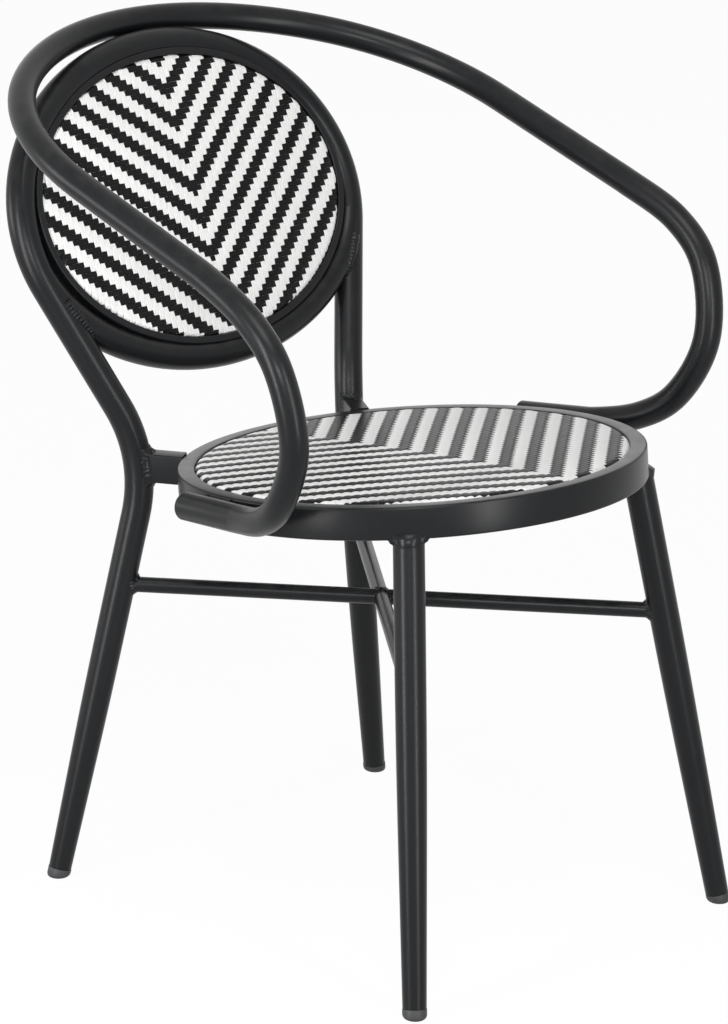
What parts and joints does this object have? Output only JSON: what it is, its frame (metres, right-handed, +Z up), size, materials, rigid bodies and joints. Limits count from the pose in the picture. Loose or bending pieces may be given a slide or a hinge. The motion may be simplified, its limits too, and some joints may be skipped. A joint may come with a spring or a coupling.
{
  "type": "bistro armchair",
  "caption": "Welded tube armchair with a round woven seat, an oval woven back and one long tube that forms the arms.",
  "frame": {"origin": "on the floor below the middle of the chair's box", "axes": "+Z up, -Y the way the sitter faces, +X to the sitter's left"},
  "size_m": [0.5965, 0.6448, 0.7977],
  "materials": {
    "frame": "satin dark grey powder coat",
    "weave": "flat extruded cane in off-white and near-black, woven in a chevron pattern",
    "cap": "matt",
    "foot": "matt moulded",
    "hidden_metal": "coated, hidden under the weave"
  },
  "bodies": {
    "root": {"back_frame_tube": "frame", "back_lower_arc": "frame", "back_panel_rim": "frame", "back_weave": "weave", "back_weave_hoop": "hidden_metal", "back_tab_1": "hidden_metal", "back_tab_2": "hidden_metal", "back_tab_3": "hidden_metal", "back_tab_4": "hidden_metal", "seat_ring": "frame", "seat_weave": "weave", "seat_weave_hoop": "hidden_metal", "seat_tab_1": "hidden_metal", "seat_tab_2": "hidden_metal", "seat_tab_3": "hidden_metal", "seat_tab_4": "hidden_metal", "arm_tube": "frame", "arm_cap_left": "cap", "arm_cap_right": "cap", "front_leg_left": "frame", "front_leg_right": "frame", "front_foot_left": "foot", "front_foot_right": "foot", "rear_foot_left": "foot", "rear_foot_right": "foot", "rear_bracket_left": "frame", "rear_bracket_right": "frame", "stretcher_long": "frame", "stretcher_front_half": "frame", "stretcher_rear_half": "frame", "weld_front_leg_left": "frame", "weld_front_leg_right": "frame", "weld_bracket_left": "frame", "weld_bracket_right": "frame", "weld_lower_arc_left": "frame", "weld_lower_arc_right": "frame", "weld_arm_ring_left": "frame", "weld_arm_ring_right": "frame", "weld_arm_hoop": "frame", "weld_stretcher_front_right": "frame", "weld_stretcher_rear_left": "frame", "weld_stretcher_front_left": "frame", "weld_stretcher_rear_right": "frame", "weld_crossing": "frame"}
  },
  "joints": []
}
